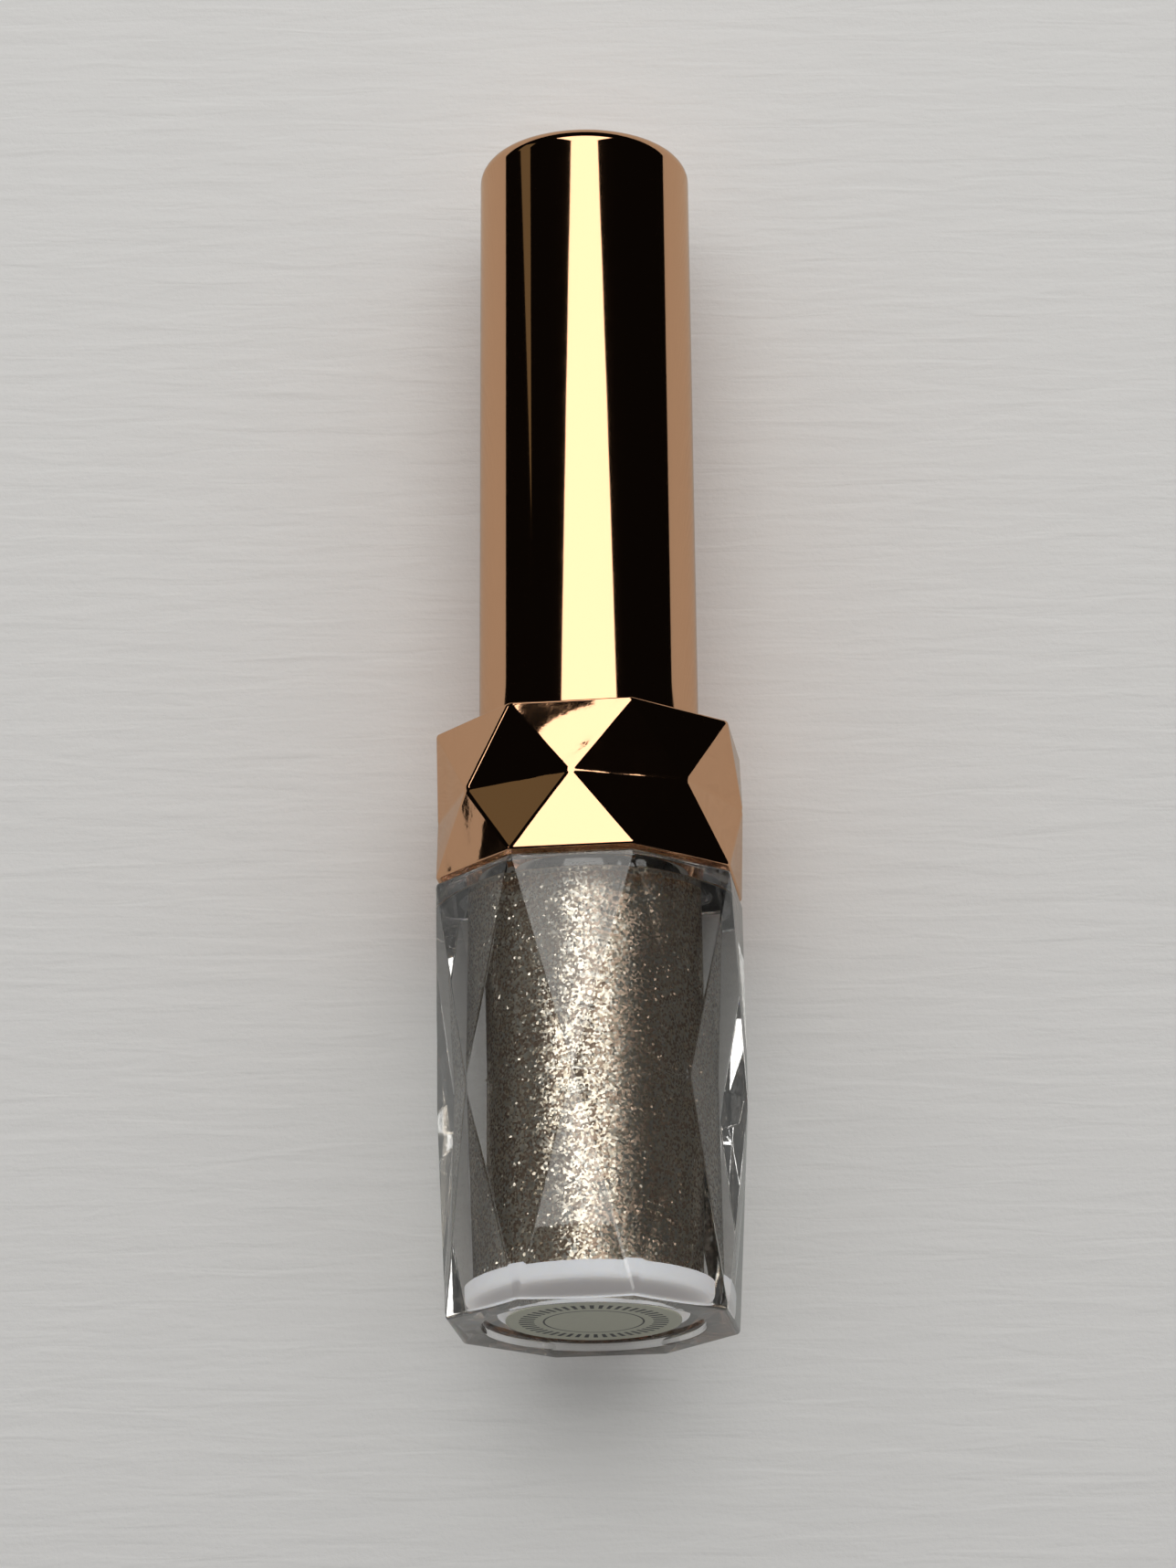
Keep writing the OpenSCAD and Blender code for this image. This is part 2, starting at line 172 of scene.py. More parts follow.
def diamondCut(name, low, belt, high, lowZ, highZ, lowOutline, highOutline, rim, cut, columns=128):
    # three rings of corners, the middle one turned by half a step: a column is a corner of one ring
    # and the middle of an edge of the next, so every quad splits along the fold between its two triangles
    count, half = 2 * sides, math.radians(180 / sides)
    turn = beltTurn + np.arange(count) * 180 / sides
    ringTurn = beltTurn + np.arange(columns) * 360 / columns
    odd = np.arange(count) % 2 == 1
    ring = np.where(odd, 1, math.cos(half))
    inset = 0.955  # how far in the flat end's polygon lies, as a share of the rim
    rings = [(low * inset * ring, lowZ), (low * ring, lowZ), (belt * ring[::-1], (lowZ + highZ) / 2),
             (high * ring, highZ), (high * inset * ring, highZ)]
    points = [np.concatenate([lay(r, turn, z) for r, z in rings])]
    rows = np.arange(5 * count).reshape(5, count)
    blocks = [loopFaces(rows[0], rows[1]), loopFaces(rows[3], rows[4])]
    for rimRow in (rows[1], rows[3]):
        a, b, c, d = loopFaces(rimRow, rows[2]).T
        blocks += [np.stack([a, b, np.where(odd, c, d)], 1), np.stack([np.where(odd, a, b), c, d], 1)]
    share = columns // count
    column = np.arange(columns)
    near = np.round((column + 0.5) / share).astype(int) % count
    inner = []
    for outline, polygon in ((lowOutline, rows[0]), (highOutline, rows[4])):
        first = sum(len(p) for p in points)
        body = outline[:-1] if outline[-1, 0] < 1e-6 else outline
        points.append(lay(body[:, :1], ringTurn, body[:, 1:]).reshape(-1, 3))
        index = first + np.arange(len(body) * columns).reshape(len(body), columns)
        if len(body) > 1:
            blocks.append(rowFaces(index))
        if len(body) < len(outline):  # the hole has a floor
            points.append(lay(0, 0, outline[-1:, 1]))
            blocks.append(fanFaces(first + len(body) * columns, index[-1]))
        # the flat end between the corners' polygon and the round hole
        circle = index[0]
        blocks.append(np.stack([circle, np.roll(circle, -1), polygon[near]], 1))
        facing = circle[np.arange(count) * share + share // 2]
        blocks.append(np.stack([polygon, facing, np.roll(polygon, -1)], 1))
        inner.append(index)
    if lowOutline[-1, 0] > 1e-6:  # the hole goes right through
        blocks.append(loopFaces(inner[0][-1], inner[1][-1]))
    piece = makeMesh(name, np.concatenate(points), blocks)
    # rims and folds get their own share of the bevel
    mesh = piece.data
    ends = np.zeros(2 * len(mesh.edges), int)
    mesh.edges.foreach_get("vertices", ends)
    ends = np.sort(ends.reshape(-1, 2), 1)
    row, column = ends // count, ends % count
    isOuter = (ends < 5 * count).all(1)
    same = row[:, 0] == row[:, 1]
    isRim = isOuter & same & np.isin(row[:, 0], (1, 3))
    isFold = isOuter & same & (row[:, 0] == 2)
    isRidge = isOuter & ((row == 2).sum(1) == 1) & (column[:, 0] != column[:, 1])
    weight = np.where(isRim, rim, np.where(isFold | isRidge, cut, 0)) / max(rim, cut)
    weights = mesh.attributes.new("bevel_weight_edge", "FLOAT", "EDGE")
    weights.data.foreach_set("value", weight.astype(np.float32))
    bevel = piece.modifiers.new("edges", "BEVEL")
    bevel.limit_method, bevel.width, bevel.segments = "WEIGHT", max(rim, cut) * mm, 3
    weighNormals(piece)
    return piece


def place(piece, body, slot, material, *nodes):
    # the piece gets its material and the body that it rides on, and the CAD nodes that it replaces are
    # hidden; slot is not used
    piece.data.materials.append(material)
    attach(piece, body)
    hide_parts(*nodes)


def coatFaces(piece, material, rule):
    # a second material goes on the faces whose middle, as (radius, height) in mm, meets the rule
    mesh = piece.data
    middles, indices = np.zeros(3 * len(mesh.polygons)), np.zeros(len(mesh.polygons), int)
    mesh.polygons.foreach_get("center", middles)
    mesh.polygons.foreach_get("material_index", indices)
    x, y, z = middles.reshape(-1, 3).T / mm
    chosen = rule(np.hypot(x, z - axisHeight), y - baseY)
    mesh.materials.append(material)
    indices[chosen] = len(mesh.materials) - 1
    mesh.polygons.foreach_set("material_index", indices)


def newMaterial(name):
    # a node material, its main shader, a short way to add a node, and its links
    material = bpy.data.materials.new(name)
    material.use_nodes = True
    nodes, links = material.node_tree.nodes, material.node_tree.links
    shader = nodes["Principled BSDF"]

    def add(kind, **values):
        # a node, with its settings by name and its unlinked or linked inputs by name
        node = nodes.new(kind)
        for key, value in values.items():
            if hasattr(node, key):
                setattr(node, key, value)
            else:
                socket = node.inputs[key.replace("_", " ")]
                if hasattr(value, "is_linked"):
                    links.new(value, socket)
                else:
                    socket.default_value = value
        return node

    return material, shader, add, links


def setSockets(shader, **values):
    # plain values by socket name, with a line for each space
    for key, value in values.items():
        shader.inputs[key.replace("_", " ")].default_value = value


def goldMaterial(name, gold):
    # mirror-bright metal film: long shallow waves and a finer peel turn the normal, and faint haze
    # varies the roughness
    material, shader, add, links = newMaterial(name)
    setSockets(shader, Metallic=1.0, Base_Color=(*gold["color"], 1), Specular_Tint=(1, 0.92, 0.82, 1))
    spot = add("ShaderNodeTexCoord").outputs["Object"]
    waves = add("ShaderNodeTexNoise", Vector=spot, Scale=gold["waveScale"], Detail=1.0)
    peel = add("ShaderNodeTexNoise", Vector=spot, Scale=gold["peelScale"], Detail=2.0)
    haze = add("ShaderNodeTexNoise", Vector=spot, Scale=900.0, Detail=5.0, Roughness=0.65)
    first = add("ShaderNodeBump", Height=waves.outputs[0], Strength=1.0, Distance=gold["waveDepth"] * mm)
    second = add("ShaderNodeBump", Height=peel.outputs[0], Strength=1.0, Distance=gold["peelDepth"] * mm,
                 Normal=first.outputs[0])
    ramp = add("ShaderNodeMapRange", Value=haze.outputs[0], To_Min=gold["rough"][0], To_Max=gold["rough"][1])
    links.new(ramp.outputs[0], shader.inputs["Roughness"])
    links.new(second.outputs[0], shader.inputs["Normal"])
    return material


def clearMaterial(name, clear):
    # clear plastic with faint flow marks; lamps shine through it, so that what is inside is lit
    material, shader, add, links = newMaterial(name)
    setSockets(shader, Base_Color=(*clear["color"], 1), Transmission_Weight=1.0, IOR=clear["ior"],
               Coat_Weight=clear.get("coat", 0.0), Coat_IOR=1.7, Coat_Roughness=0.02)
    spot = add("ShaderNodeTexCoord").outputs["Object"]
    flow = add("ShaderNodeTexNoise", Vector=spot, Scale=clear["flowScale"], Detail=2.0)
    scuff = add("ShaderNodeTexNoise", Vector=spot, Scale=1600.0, Detail=4.0, Roughness=0.7)
    bump = add("ShaderNodeBump", Height=flow.outputs[0], Strength=1.0, Distance=clear["flowDepth"] * mm)
    ramp = add("ShaderNodeMapRange", Value=scuff.outputs[0], From_Min=0.45, From_Max=0.75,
               To_Min=clear["rough"][0], To_Max=clear["rough"][1])
    links.new(ramp.outputs[0], shader.inputs["Roughness"])
    links.new(bump.outputs[0], shader.inputs["Normal"])
    through = add("ShaderNodeBsdfTransparent", Color=(*clear["shade"], 1))
    mix = add("ShaderNodeMixShader", Fac=add("ShaderNodeLightPath").outputs["Is Shadow Ray"])
    links.new(shader.outputs[0], mix.inputs[1])
    links.new(through.outputs[0], mix.inputs[2])
    links.new(mix.outputs[0], material.node_tree.nodes["Material Output"].inputs["Surface"])
    return material


def vectorStep(add, links, operation, *values):
    # one vector sum, scale or blend of linked or fixed values
    node = add("ShaderNodeVectorMath", operation=operation)
    for socket, value in zip(node.inputs, values):
        if hasattr(value, "is_linked"):
            links.new(value, socket)
        else:
            socket.default_value = (value,) * 3
    return node.outputs[0]


def mathStep(add, links, operation, *values):
    # one sum or comparison of linked or fixed numbers
    node = add("ShaderNodeMath", operation=operation)
    for socket, value in zip(node.inputs, values):
        if hasattr(value, "is_linked"):
            links.new(value, socket)
        else:
            socket.default_value = value
    return node.outputs[0]


def colorMix(add, links, factor, first, second):
    # factor 0 gives the first colour and 1 the second; each is linked or fixed
    node = add("ShaderNodeMix", data_type="RGBA")
    links.new(factor, node.inputs["Factor"])
    for socket, value in zip((node.inputs[6], node.inputs[7]), (first, second)):
        if hasattr(value, "is_linked"):
            links.new(value, socket)
        else:
            socket.default_value = (*value, 1)
    return node.outputs[2]


def glossMaterial(name, gloss):
    # brown pearl full of flakes: each cell of a fine cell pattern is a flake with its own tilt and tint;
    # most lie nearly flat and shine as one satin band, a few stand steeper and sparkle apart from it
    material, shader, add, links = newMaterial(name)
    spot = add("ShaderNodeTexCoord").outputs["Object"]
    normal = add("ShaderNodeNewGeometry").outputs["Normal"]
    warp = add("ShaderNodeTexNoise", Vector=spot, Scale=2500.0, Detail=1.0)
    shifted = vectorStep(add, links, "MULTIPLY_ADD", warp.outputs["Color"], gloss["warp"] * mm, spot)
    cells = add("ShaderNodeTexVoronoi", Vector=shifted, Scale=1 / (gloss["flake"] * mm), feature="F1")
    chance = add("ShaderNodeSeparateColor", Color=cells.outputs["Color"])
    steep = add("ShaderNodeMapRange", Value=chance.outputs[2], From_Min=1 - gloss["steepShare"], From_Max=1.0,
                To_Min=gloss["tilt"], To_Max=gloss["steepTilt"])
    lean = vectorStep(add, links, "SUBTRACT", cells.outputs["Color"], 0.5)
    lean = vectorStep(add, links, "MULTIPLY", lean, steep.outputs[0])
    tilted = vectorStep(add, links, "ADD", lean, normal)
    unit = vectorStep(add, links, "NORMALIZE", tilted)
    swirl = add("ShaderNodeTexNoise", Vector=spot, Scale=220.0, Detail=3.0, Distortion=0.8)
    bare = 1 - gloss["cover"]
    isFlake = add("ShaderNodeMapRange", Value=chance.outputs[0], From_Min=bare - gloss["blend"],
                  From_Max=bare + gloss["blend"])
    flakes = colorMix(add, links, chance.outputs[1], gloss["silver"], gloss["goldFlake"])
    brown = colorMix(add, links, swirl.outputs[0], gloss["dark"], gloss["light"])
    color = colorMix(add, links, isFlake.outputs[0], brown, flakes)
    rough = add("ShaderNodeMapRange", Value=isFlake.outputs[0],
                To_Min=gloss["rough"][0], To_Max=gloss["rough"][1])
    metal = add("ShaderNodeMapRange", Value=isFlake.outputs[0],
                To_Min=gloss["metal"][0], To_Max=gloss["metal"][1])
    links.new(color, shader.inputs["Base Color"])
    links.new(rough.outputs[0], shader.inputs["Roughness"])
    links.new(metal.outputs[0], shader.inputs["Metallic"])
    links.new(unit, shader.inputs["Normal"])
    return material


def plasticMaterial(name, plastic):
    # moulded plastic, foam or steel: colour drifts a little, fine grain turns the normal and varies
    # the roughness
    material, shader, add, links = newMaterial(name)
    # Emission_Color and glow, where given, are painted light: the part glows although it is no lamp
    setSockets(shader, Metallic=plastic.get("metal", 0.0), Subsurface_Weight=plastic.get("soft", 0.0),
               Subsurface_Radius=(0.6, 0.5, 0.4), Subsurface_Scale=plastic.get("reach", 0.001),
               Sheen_Weight=plastic.get("sheen", 0.0), Emission_Color=(1, 0.94, 0.92, 1),
               Emission_Strength=plastic.get("glow", 0.0))
    spot = add("ShaderNodeTexCoord").outputs["Object"]
    stretch = add("ShaderNodeMapping", Vector=spot, Scale=plastic.get("stretch", (1, 1, 1)))
    drift = add("ShaderNodeTexNoise", Vector=spot, Scale=180.0, Detail=3.0)
    grain = add("ShaderNodeTexNoise", Vector=stretch.outputs[0], Scale=plastic["grainScale"], Detail=4.0,
                Roughness=0.6)
    color = colorMix(add, links, drift.outputs[0], plastic["color"], plastic["other"])
    rough = add("ShaderNodeMapRange", Value=grain.outputs[0], From_Min=0.3, From_Max=0.7,
                To_Min=plastic["rough"][0], To_Max=plastic["rough"][1])
    bump = add("ShaderNodeBump", Height=grain.outputs[0], Strength=1.0, Distance=plastic["grainDepth"] * mm)
    links.new(color, shader.inputs["Base Color"])
    links.new(rough.outputs[0], shader.inputs["Roughness"])
    links.new(bump.outputs[0], shader.inputs["Normal"])
    return material


bottle = dict(base=11.0, belt=11.45, ring=11.75, recess=8.11, recessDepth=0.55, floor=1.9, bore=7.0,
              ledge=30.4, flangeTop=31.7, flangeBore=9.41, edge=0.12, rim=0.3, cut=0.14, near=0.05,
              guide=(0.85, 0.88))
clearPlastic = dict(color=(0.985, 0.99, 0.99), ior=1.49, flowScale=160.0, flowDepth=0.004, rough=(0.0, 0.03),
                    coat=0.5, shade=(0.80, 0.81, 0.81))


def makeBottle():
    # a diamond cut body with the recess below and the bore above; the first corner of each outline only
    # gives the direction of the flat end, so it is dropped
    b = bottle
    lowGuide, highGuide = b["base"] * b["guide"][0], b["ring"] * b["guide"][1]
    lowOutline = roundedOutline([(lowGuide, 0), (b["recess"], 0, b["edge"]),
                                 (b["recess"], b["recessDepth"], 0.2), (0, b["recessDepth"])])[1:]
    highOutline = roundedOutline([(highGuide, bottleHeight), (b["flangeBore"], bottleHeight, b["edge"]),
                                  (b["flangeBore"], b["flangeTop"]), (b["flangeBore"], b["ledge"], b["edge"]),
                                  (b["bore"], b["ledge"], b["edge"]), (b["bore"], b["floor"], 0.4),
                                  (0, b["floor"])])[1:]
    shell = diamondCut("bottleShell", b["base"], b["belt"], b["ring"], 0, bottleHeight, lowOutline,
                       highOutline, b["rim"], b["cut"])
    material = clearMaterial("clear moulded bottle", clearPlastic)
    place(shell, "bottle", "clear_bottle", material, "bottle_shell")

    def touchesVial(radius, height):
        within = (height > b["floor"] - b["near"]) & (height < b["flangeTop"])
        return within & (radius < b["flangeBore"] + b["near"])

    coatFaces(shell, contactMaterial, touchesVial)


vial = dict(radius=6.95, low=2.0, cavityLow=2.9, cavity=6.0, flangeLow=30.4, flangeHigh=31.7, flange=9.36,
            rise=32.3, shoulder=32.4, neckBore=4.4, neck=5.5, crest=6.05, neckTop=41.0, threadStart=35.04,
            milky=3.25, flangeEdge=0.12, halfWall=0.5)
vialPlastic = dict(color=(0.965, 0.955, 0.95), ior=1.49, flowScale=240.0, flowDepth=0.003, rough=(0.02, 0.08),
                   shade=(0.9, 0.89, 0.88))
milkyPlastic = dict(color=(0.96, 0.93, 0.94), other=(0.93, 0.90, 0.91), rough=(0.35, 0.5), grainScale=1200.0,
                    grainDepth=0.002, soft=1.0, reach=0.01, glow=0.25)  # glow is painted light: an emission that stands in for light gathered through the clear walls


def makeVial():
    # floor, milky foot, wall, hanging flange, 45 degree shoulder and threaded neck, then back down the bore
    v = vial
    neckLow = v["rise"] + v["radius"] - v["neck"]
    boreLow = v["shoulder"] + v["cavity"] - v["neckBore"]
    corners = [(0, v["low"]), (v["radius"], v["low"], 0.4), (v["radius"], v["milky"]),
               (v["radius"], v["flangeLow"], 0.1), (v["flange"], v["flangeLow"], 0.1),
               (v["flange"], v["flangeHigh"], v["flangeEdge"]), (v["radius"], v["flangeHigh"], 0.15),
               (v["radius"], v["rise"], 0.3), (v["neck"], neckLow, 0.2, 72), (v["neck"], v["neckTop"], 0.2),
               (v["neckBore"], v["neckTop"], 0.15), (v["neckBore"], boreLow, 0.3),
               (v["cavity"], v["shoulder"], 0.3), (v["cavity"], v["cavityLow"], 0.6), (0, v["cavityLow"])]
    ridge = threadRidge(v["neck"], v["crest"], v["threadStart"], low=neckLow)
    piece = lathe("innerVial", corners, 144, ridge)
    place(piece, "bottle", "vial_plastic", clearMaterial("clear vial plastic", vialPlastic), "inner_vial")

    def touchesBottle(radius, height):
        within = (height > v["milky"]) & (height < v["flangeHigh"] - v["flangeEdge"])
        return within & (radius > v["cavity"] + v["halfWall"])

    def isMilky(radius, height):
        outside = (radius > v["cavity"] + v["halfWall"]) | (height < v["low"] + v["halfWall"])
        return outside & (height < v["milky"])

    coatFaces(piece, contactMaterial, touchesBottle)
    # the milky floor's faint emission is painted light, not a lamp
    coatFaces(piece, plasticMaterial("milky vial floor", milkyPlastic), isMilky)


filling = dict(wet=0.02, cavity=6.0, low=2.9, shoulder=32.2, wayLow=4.4, way=2.1, top=32.7)
glossLook = dict(flake=0.17, tilt=0.3, steepShare=0.14, steepTilt=1.3, cover=0.6, silver=(0.95, 0.92, 0.84),
                 goldFlake=(0.90, 0.78, 0.60), dark=(0.34, 0.24, 0.18), light=(0.56, 0.44, 0.34),
                 rough=(0.36, 0.28), metal=(0.92, 1.0), warp=0.1, blend=0.05)


def makeFilling():
    # fills the cavity up to the shoulder, with a bore on the axis for the wand
    f = filling
    wall = f["cavity"] + f["wet"]  # the filling wets the vial, so it overlaps its wall by a hair
    low = f["low"] - f["wet"]
    corners = [(0, low), (wall, low, 0.6, 4), (wall, f["shoulder"], 0.2),
               (wall - f["top"] + f["shoulder"], f["top"], 0.1), (f["way"], f["top"], 0.15),
               (f["way"], f["wayLow"], 0.2), (0, f["wayLow"])]
    piece = lathe("glossFill", corners, 128)
    place(piece, "bottle", "gloss", glossMaterial("glitter gloss", glossLook), "gloss_fill")


wiperSizes = dict(way=2.1, wall=0.7, lip=32.8, sleeve=4.35, sleeveLow=35.6, flange=5.45, neckTop=41.0,
                  top=41.8)
wiperPlastic = dict(color=(0.80, 0.79, 0.76), other=(0.72, 0.70, 0.67), rough=(0.28, 0.42), grainScale=1500.0,
                    grainDepth=0.004, soft=0.35)


def makeWiper():
    # a sleeve in the neck with a flange on top, narrowing downwards to a thin lip round the wand
    w = wiperSizes
    bore = w["sleeve"] - w["wall"]
    corners = [(w["way"], w["lip"], 0.08), (w["way"] + w["wall"], w["lip"], 0.15),
               (w["sleeve"], w["sleeveLow"], 0.3), (w["sleeve"], w["neckTop"], 0.1),
               (w["flange"], w["neckTop"], 0.12), (w["flange"], w["top"], 0.25), (bore, w["top"], 0.3),
               (bore, w["sleeveLow"], 0.4), (w["way"], w["lip"] + w["wall"], 0.2)]
    material = plasticMaterial("soft natural wiper", wiperPlastic)
    place(lathe("softWiper", corners), "bottle", "wiper_plastic", material, "wiper")


label = dict(radius=6.36, low=0.43, high=0.55, edge=0.05, ring=(4.3, 5.4), ticks=48, tickEdge=0.1,
             line=3.6, lineHalf=0.07)
labelFilm = dict(color=(0.52, 0.52, 0.425), mark=(0.07, 0.07, 0.07), rough=(0.42, 0.6), drift=1.2,
                 grainDepth=0.002)


def labelMaterial(name, film):
    # grey film with a ring of short even ticks: angle and radius round the axis choose the printed part
    material, shader, add, links = newMaterial(name)
    spot = add("ShaderNodeTexCoord").outputs["Object"]
    centred = add("ShaderNodeMapping", Vector=spot)
    centred.inputs["Location"].default_value = (0, 0, -axisHeight * mm)
    parts = add("ShaderNodeSeparateXYZ", Vector=centred.outputs[0])

    def calculate(operation, *values):
        return mathStep(add, links, operation, *values)

    x, z = parts.outputs[0], parts.outputs[2]
    radius = calculate("SQRT", calculate("ADD", calculate("MULTIPLY", x, x), calculate("MULTIPLY", z, z)))
    angle = calculate("ARCTAN2", z, x)
    wave = calculate("SINE", calculate("MULTIPLY", angle, float(label["ticks"])))
    tick = calculate("GREATER_THAN", wave, label["tickEdge"])
    inner, outer = (end * mm for end in label["ring"])
    outside, inside = calculate("GREATER_THAN", radius, inner), calculate("LESS_THAN", radius, outer)
    band = calculate("MULTIPLY", outside, inside)
    thin = calculate("COMPARE", radius, label["line"] * mm, label["lineHalf"] * mm)
    printed = calculate("MAXIMUM", calculate("MULTIPLY", tick, band), thin)
    grain = add("ShaderNodeTexNoise", Vector=spot, Scale=3000.0, Detail=3.0)
    lighter = [c * film["drift"] for c in film["color"]]
    base = colorMix(add, links, grain.outputs[0], film["color"], lighter)
    color = colorMix(add, links, printed, base, film["mark"])
    rough = add("ShaderNodeMapRange", Value=grain.outputs[0],
                To_Min=film["rough"][0], To_Max=film["rough"][1])
    bump = add("ShaderNodeBump", Height=grain.outputs[0], Strength=1.0, Distance=film["grainDepth"] * mm)
    links.new(color, shader.inputs["Base Color"])
    links.new(rough.outputs[0], shader.inputs["Roughness"])
    links.new(bump.outputs[0], shader.inputs["Normal"])
    return material


def makeLabel():
    # a thin disc on the floor of the recess
    b = label
    corners = [(0, b["low"]), (b["radius"], b["low"], b["edge"]), (b["radius"], b["high"]), (0, b["high"])]
    material = labelMaterial("grey base label", labelFilm)
    place(lathe("baseLabel", corners, 128), "bottle", "label_paper", material, "base_label")


# where the two clear plastics touch there is no air between them, so the contact faces are unseen
contactMaterial = plasticMaterial("joined clear plastic", milkyPlastic)
setSockets(contactMaterial.node_tree.nodes["Principled BSDF"], Alpha=0.0, Emission_Strength=0.0)
makeBottle()
makeVial()
makeFilling()
makeWiper()
makeLabel()
print("bottle side made")


cap = dict(radius=8.2, endRadius=8.05, seat=42.1, wall=0.9, end=1.2, edge=1.5)
capGold = dict(color=(0.90, 0.50, 0.29), waveScale=90.0, waveDepth=0.010, peelScale=1500.0, peelDepth=0.0002,
               rough=(0.03, 0.07))
collarGold = dict(color=(0.90, 0.50, 0.29), waveScale=230.0, waveDepth=0.13, peelScale=1700.0,
                  peelDepth=0.003, rough=(0.03, 0.07))


def makeCap():
    # a long cup: radius falls evenly from the collar to the closed end, and the bore follows it
    c = cap
    bore, endBore = c["radius"] - c["wall"], c["endRadius"] - c["wall"]
    corners = [(0, tubeHeight), (c["endRadius"], tubeHeight, c["edge"]), (c["radius"], collarHigh),
               (c["radius"], c["seat"], 0.15), (bore, c["seat"], 0.15), (bore, collarHigh),
               (endBore, tubeHeight - c["end"], 0.5), (0, tubeHeight - c["end"])]
    material = goldMaterial("polished gold cap", capGold)
    place(lathe("capShell", corners, 192, steps=8), "cap", "gold_cap", material, "cap_shell")


collar = dict(ring=11.75, belt=11.45, bore=7.65, seatBore=8.25, seat=42.1, edge=0.12, rim=0.16, cut=0.2,
              guide=0.88)


def makeCollar():
    # a diamond cut ring with a bore that widens to a seat for the cap
    c = collar
    guide = c["ring"] * c["guide"]
    lowOutline = roundedOutline([(guide, collarLow), (c["bore"], collarLow, c["edge"]),
                                 (c["bore"], c["seat"])])[1:-1]
    highOutline = roundedOutline([(guide, collarHigh), (c["seatBore"], collarHigh, 0.06),
                                  (c["seatBore"], c["seat"], 0.1), (c["bore"], c["seat"], 0.1),
                                  (c["bore"], collarLow)])[1:-1]
    piece = diamondCut("goldCollar", c["ring"], c["belt"], c["ring"], collarLow, collarHigh, lowOutline,
                       highOutline, c["rim"], c["cut"])
    place(piece, "cap", "gold_collar", goldMaterial("polished gold collar", collarGold), "collar")


closure = dict(bore=6.65, crest=6.1, skirt=7.6, low=33.2, seat=42.1, cup=7.1, cupTop=50.0, cupWall=1.0,
               web=43.9, webTop=45.4, spigot=2.65, hold=5.775, shoulder=41.8, threadStart=34.04)
closurePlastic = dict(color=(0.80, 0.80, 0.78), other=(0.74, 0.735, 0.715), rough=(0.3, 0.45),
                      grainScale=1400.0, grainDepth=0.005, soft=0.2)


def makeClosure():
    # a threaded skirt below a web with a snap hole, and a cup above it inside the cap
    c = closure
    cupBore = c["cup"] - c["cupWall"]
    corners = [(c["bore"], c["low"], 0.15), (c["skirt"], c["low"], 0.15), (c["skirt"], c["seat"], 0.1),
               (c["cup"], c["seat"], 0.1), (c["cup"], c["cupTop"], 0.2), (cupBore, c["cupTop"], 0.2),
               (cupBore, c["webTop"], 0.3), (c["spigot"], c["webTop"], 0.1), (c["spigot"], c["web"], 0.1),
               (c["hold"], c["web"], 0.1), (c["hold"], c["shoulder"], 0.1),
               (c["bore"], c["shoulder"] - c["bore"] + c["hold"], 0.2, 64)]
    ridge = threadRidge(c["bore"], c["crest"], c["threadStart"], low=c["low"] + 0.1, high=c["shoulder"] - 1)
    material = plasticMaterial("white closure", closurePlastic)
    place(lathe("threadedClosure", corners, 144, ridge), "cap", "closure_plastic", material, "closure")


weight = dict(low=50.1, high=58.1, radius=7.05, bore=4.5, edge=0.25)
weightSteel = dict(color=(0.52, 0.52, 0.53), other=(0.60, 0.60, 0.61), rough=(0.22, 0.4), grainScale=900.0,
                   grainDepth=0.01, metal=1.0, stretch=(1, 8, 1))


def ringCorners(r):
    # a square-cut ring: its outer side, then its bore, with the same small fillet at all four corners
    return [(r["radius"], r["low"], r["edge"]), (r["radius"], r["high"], r["edge"]),
            (r["bore"], r["high"], r["edge"]), (r["bore"], r["low"], r["edge"])]


def makeWeight():
    # a steel ring that lies on the cup
    material = plasticMaterial("turned steel", weightSteel)
    place(lathe("capWeight", ringCorners(weight)), "weight", "weight_steel", material, "cap_weight")


gasket = dict(low=41.85, high=42.65, radius=5.4, bore=2.1, edge=0.15)
gasketFoam = dict(color=(0.78, 0.78, 0.75), other=(0.68, 0.68, 0.65), rough=(0.6, 0.8), grainScale=2500.0,
                  grainDepth=0.03)


def makeGasket():
    # a soft ring between the wiper and the wand
    material = plasticMaterial("soft gasket", gasketFoam)
    place(lathe("closureGasket", ringCorners(gasket)), "gasket", "gasket_foam", material, "closure_gasket")


rod = dict(radius=1.85, low=15.0, flange=5.725, flangeLow=42.7, web=43.9, webTop=45.4, spigot=2.6, bead=0.3,
           beadGap=0.1, rise=1.2, socket=1.15, plug=4.1)
rodPlastic = dict(color=(0.55, 0.50, 0.45), other=(0.74, 0.71, 0.67), rough=(0.12, 0.3), grainScale=700.0,
                  grainDepth=0.01, soft=0.15)


def makeRod():
    # a rod with a socket for the applicator, a flange, and a beaded spigot that snaps into the web
    r = rod
    top = r["webTop"] + r["rise"]
    beadLow = r["webTop"] + r["beadGap"]
    inside = [(0, r["low"] + r["plug"]), (r["socket"], r["low"] + r["plug"], 0.1)]
    corners = [(r["socket"], r["low"], 0.1), (r["radius"], r["low"], 0.2), (r["radius"], r["flangeLow"], 0.3),
               (r["flange"], r["flangeLow"], 0.15), (r["flange"], r["web"], 0.1),
               (r["spigot"], r["web"], 0.1), (r["spigot"], beadLow, 0.04),
               (r["spigot"] + r["bead"], beadLow, 0.08), (r["spigot"], top, 0.1), (0, top)]
    material = plasticMaterial("wand plastic", rodPlastic)
    place(lathe("wandRod", inside + corners), "cap", "wand_plastic", material, "wand_rod")


